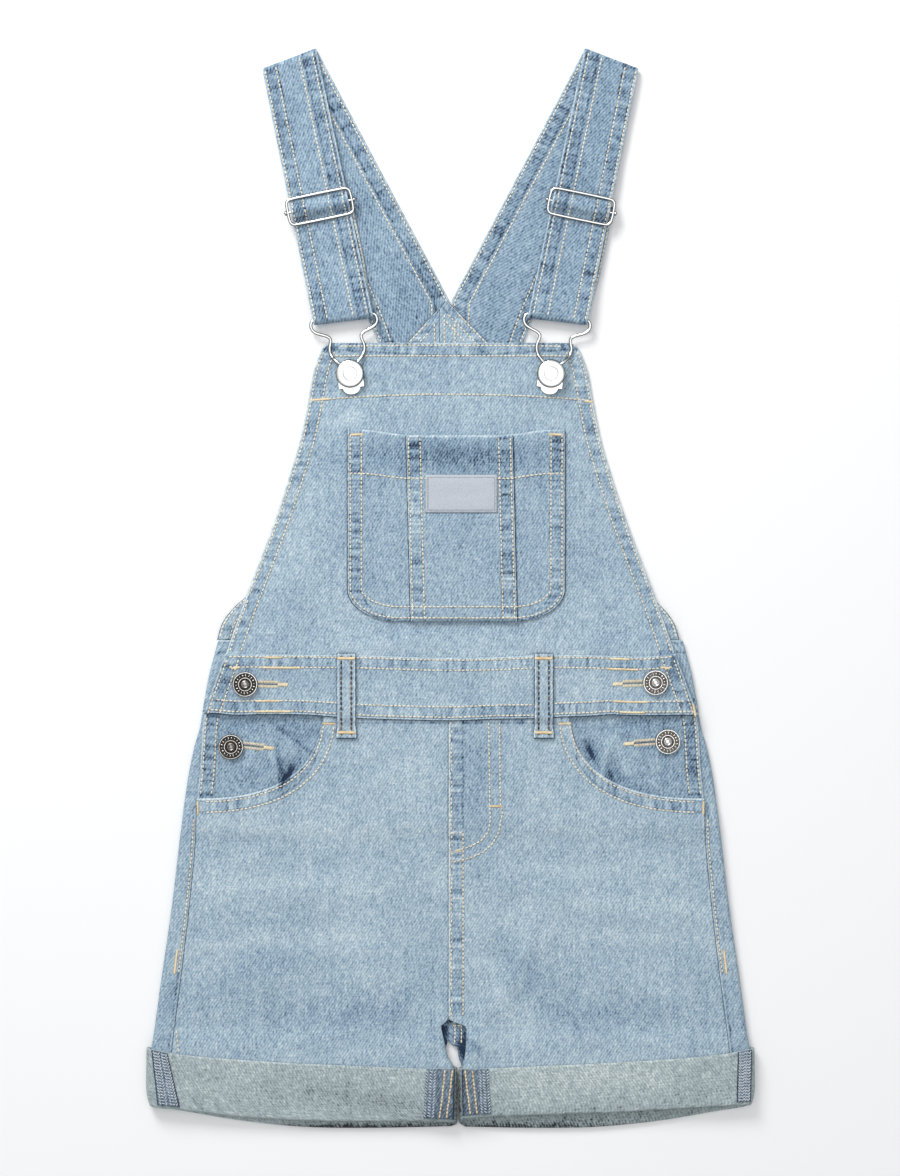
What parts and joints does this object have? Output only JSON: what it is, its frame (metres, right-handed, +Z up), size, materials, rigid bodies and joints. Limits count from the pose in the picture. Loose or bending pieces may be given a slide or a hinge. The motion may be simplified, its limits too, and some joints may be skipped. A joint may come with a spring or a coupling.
{
  "type": "denim shortalls",
  "caption": "Light-washed denim overalls with turned-up short legs, crossed shoulder straps on wire buckles, a bib pocket and side buttons, laid flat face up.",
  "frame": {"origin": "on the surface that the garment lies on, under the middle of its outline", "axes": "+Y from hem to shoulders, +X across the garment, to the right as seen in front of it, +Z up off the surface, out of its front"},
  "size_m": [0.396, 0.703, 0.0119],
  "materials": {
    "denim": "light-washed blue twill, matt",
    "denim_inside": "pale wrong side of the twill, matt",
    "denim_serged": "overlocked seam allowance, matt",
    "label": "satin-woven label, bare",
    "bright_metal": "bright nickel plate",
    "aged_metal": "antiqued nickel"
  },
  "bodies": {
    "root": {"back_bib_left": "denim", "back_bib_right": "denim", "back_waistband": "denim", "back_leg_left": "denim", "back_leg_right": "denim", "strap_left": "denim", "strap_right": "denim", "front_bib": "denim", "front_waistband": "denim", "belt_loop_left": "denim", "belt_loop_right": "denim", "bib_pocket": "denim", "bib_pocket_centre": "denim", "pocket_label": "label", "front_leg_left": "denim", "front_leg_right": "denim", "hip_facing_left": "denim", "hip_facing_right": "denim", "cuff_left": "denim_inside", "cuff_right": "denim_inside", "cuff_seam_side_left": "denim_serged", "cuff_seam_side_right": "denim_serged", "cuff_seam_inner_left": "denim_serged", "cuff_seam_inner_right": "denim_serged", "slider_left": "bright_metal", "slider_right": "bright_metal", "buckle_left": "bright_metal", "buckle_right": "bright_metal", "buckle_plate_left": "bright_metal", "buckle_plate_right": "bright_metal", "bib_button_left": "bright_metal", "bib_button_right": "bright_metal", "waist_button_left": "aged_metal", "waist_button_right": "aged_metal", "hip_button_left": "aged_metal", "hip_button_right": "aged_metal"}
  },
  "joints": []
}
